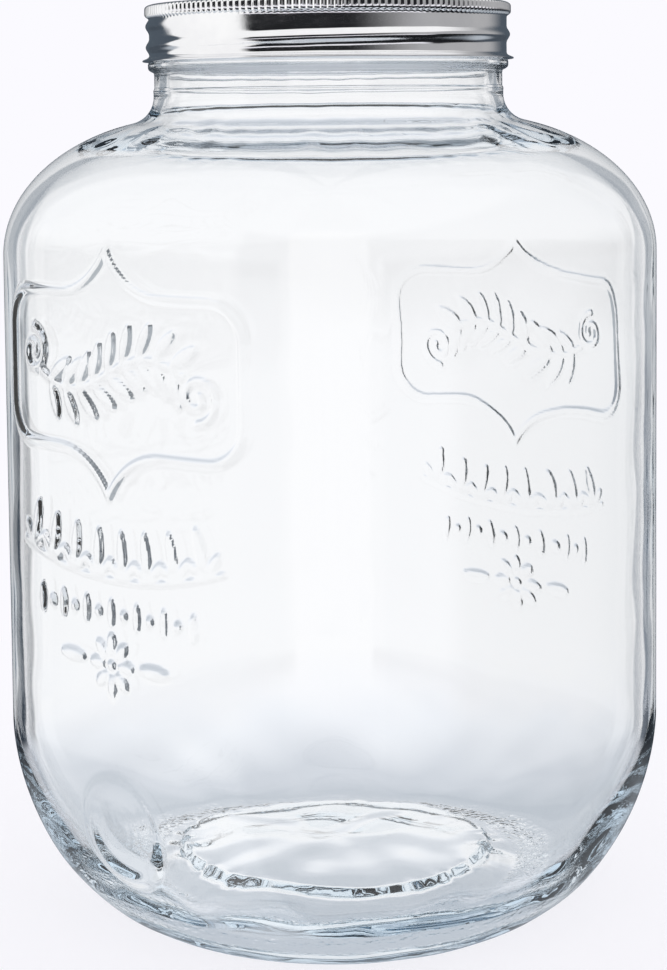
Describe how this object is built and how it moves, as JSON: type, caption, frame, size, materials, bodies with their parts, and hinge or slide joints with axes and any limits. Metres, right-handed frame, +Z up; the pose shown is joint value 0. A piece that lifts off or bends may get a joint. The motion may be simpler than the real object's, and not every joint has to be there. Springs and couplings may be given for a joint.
{
  "type": "glass storage jar with screw lid",
  "caption": "Large clear pressed-glass jar with a rounded square body, embossed plaques front and back, a round pressing on the heel and a bright metal screw lid.",
  "frame": {"origin": "on the surface the jar stands on, at the middle of the base, under the middle of the mouth", "axes": "+Z up through the mouth, -Y out of the face with the round pressing on its heel, +X to the right of that face"},
  "size_m": [0.194, 0.1959, 0.2967],
  "materials": {
    "clear_glass": "clear pressed glass with a faint blue-green tint, smooth and glossy, slightly uneven",
    "bright_metal": "bright tinned steel, satin, with a knurled rim"
  },
  "bodies": {
    "root": {"jar": "clear_glass", "lid": "bright_metal"}
  },
  "joints": []
}
